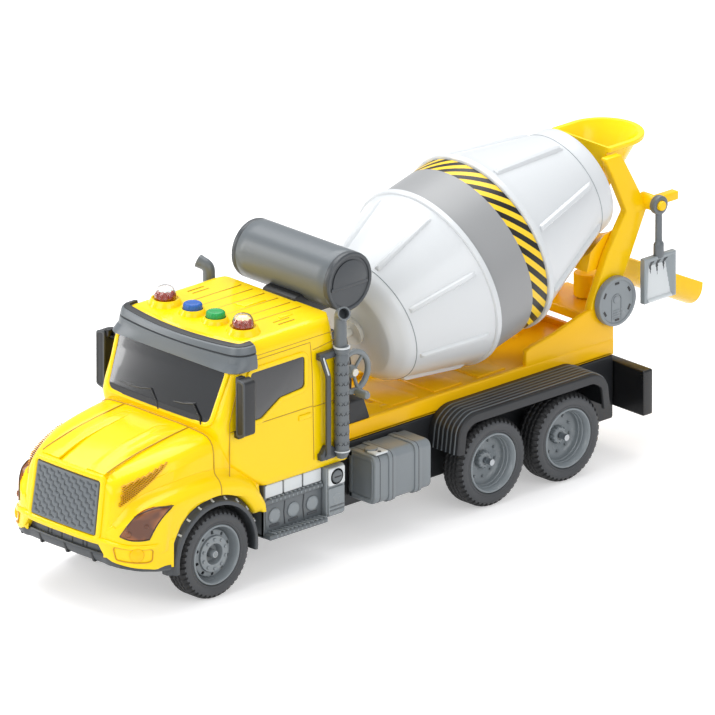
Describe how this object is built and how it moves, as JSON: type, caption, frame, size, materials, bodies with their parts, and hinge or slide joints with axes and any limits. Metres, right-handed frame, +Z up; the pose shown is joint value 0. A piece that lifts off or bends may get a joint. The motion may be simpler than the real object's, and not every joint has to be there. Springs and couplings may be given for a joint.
{
  "type": "toy cement mixer truck",
  "caption": "Toy cement mixer truck with a bonneted cab, tilted ribbed drum turned by a hand wheel, rear hopper, swivelling chute and hanging shovel.",
  "frame": {"origin": "on the floor under the middle of the truck's box", "axes": "+X to the nose, +Y to the driver's left, +Z up"},
  "size_m": [0.399, 0.1006, 0.1551],
  "materials": {
    "yellow_shell": "glossy moulded ABS",
    "yellow_bed": "glossy moulded ABS",
    "grey_trim": "satin moulded ABS",
    "dark_trim": "satin moulded ABS",
    "light_grey": "glossy moulded ABS",
    "drum_shell": "glossy moulded ABS",
    "drum_band": "printed strip",
    "tyre": "soft PVC",
    "rim": "satin moulded ABS",
    "dark_window": "dark tinted polystyrene",
    "amber_lens": "tinted polystyrene",
    "clear_dome": "clear polystyrene",
    "green_button": "glossy moulded ABS",
    "blue_button": "glossy moulded ABS",
    "steel": "drawn steel",
    "nylon": "natural acetal",
    "cell": "printed sleeve",
    "board": "laminate",
    "speaker": "paper cone in a steel basket"
  },
  "bodies": {
    "truck": {"cab_shell": "yellow_shell", "bed_deck": "yellow_bed", "rear_frame_left": "yellow_bed", "rear_frame_right": "yellow_bed", "drum_cradle": "yellow_bed", "hopper": "yellow_bed", "chute_bracket": "yellow_bed", "grille": "light_grey", "headlights": "amber_lens", "air_dam": "grey_trim", "visor": "grey_trim", "wheel_arches": "grey_trim", "beacons": "clear_dome", "circuit_board": "board", "mirrors": "dark_trim", "exhaust_stacks": "grey_trim", "grab_bars": "grey_trim", "step_unit_left": "grey_trim", "step_unit_right": "grey_trim", "fuel_tank_left": "grey_trim", "fuel_tank_right": "grey_trim", "rear_fender_left": "dark_trim", "rear_fender_right": "dark_trim", "tail_board": "dark_trim", "chassis_frame": "dark_trim", "battery_cover": "dark_trim", "batteries": "cell", "speaker": "speaker", "body_screws": "steel", "motor_case": "nylon", "cab_windows": "dark_window", "water_tank": "grey_trim", "tank_end_caps": "grey_trim", "tank_bracket": "dark_trim", "crank_pedestal": "dark_trim", "reel_discs": "light_grey"},
    "front_wheels": {"front_axle": "steel", "front_rims": "rim", "front_tyre_left": "tyre", "front_tyre_right": "tyre"},
    "drive_wheels": {"drive_axle": "steel", "drive_rims": "rim", "drive_tyre_left": "tyre", "drive_tyre_right": "tyre", "drive_gear": "nylon"},
    "last_wheels": {"last_axle": "steel", "last_rims": "rim", "last_tyre_left": "tyre", "last_tyre_right": "tyre"},
    "flywheel": {"flywheel": "nylon"},
    "drum": {"drum_front_shell": "drum_shell", "drum_band": "drum_band", "drum_rear_shell": "drum_shell", "drum_shaft": "nylon"},
    "crank": {"crank_shaft": "nylon", "hand_wheel": "light_grey"},
    "green_button": {"green_button": "green_button"},
    "blue_button": {"blue_button": "blue_button"},
    "chute": {"chute": "yellow_bed"},
    "shovel": {"shovel": "light_grey"}
  },
  "joints": [
    {"name": "front_wheels_spin", "type": "hinge", "parent": "truck", "child": "front_wheels", "pos_m": [0.1425, 0, 0.0215], "axis": [0, 1, 0], "continuous": true},
    {"name": "drive_wheels_spin", "type": "hinge", "parent": "truck", "child": "drive_wheels", "pos_m": [-0.0333, 0, 0.0215], "axis": [0, 1, 0], "continuous": true},
    {"name": "last_wheels_spin", "type": "hinge", "parent": "truck", "child": "last_wheels", "pos_m": [-0.0813, 0, 0.0215], "axis": [0, 1, 0], "continuous": true},
    {"name": "flywheel_spin", "type": "hinge", "parent": "truck", "child": "flywheel", "pos_m": [-0.0183, 0, 0.0215], "axis": [0, 1, 0], "continuous": true},
    {"name": "drum_spin", "type": "hinge", "parent": "truck", "child": "drum", "pos_m": [-0.0341, 0, 0.1011], "axis": [-0.9636, 0, 0.2672], "continuous": true},
    {"name": "crank_spin", "type": "hinge", "parent": "truck", "child": "crank", "pos_m": [0.04, 0, 0.08055], "axis": [0, 1, 0], "continuous": true},
    {"name": "green_button_press", "type": "slide", "parent": "truck", "child": "green_button", "axis": [0, 0, -1], "range_m": [0, 0.0015], "stiffness_N_per_m": 400, "springref_m": -0.0006},
    {"name": "blue_button_press", "type": "slide", "parent": "truck", "child": "blue_button", "axis": [0, 0, -1], "range_m": [0, 0.0015], "stiffness_N_per_m": 400, "springref_m": -0.0006},
    {"name": "chute_swivel", "type": "hinge", "parent": "truck", "child": "chute", "pos_m": [-0.1353, 0, 0.07], "axis": [0, 0, 1], "range_deg": [-25, 25]},
    {"name": "shovel_swing", "type": "hinge", "parent": "truck", "child": "shovel", "pos_m": [-0.152, 0.0311, 0.1156], "axis": [0, 1, 0], "range_deg": [-55, 75]}
  ],
  "couplings": [
    {"joint": "crank_spin", "follows": "drum_spin", "ratio": -1},
    {"joint": "flywheel_spin", "follows": "drive_wheels_spin", "ratio": -1.6667}
  ]
}
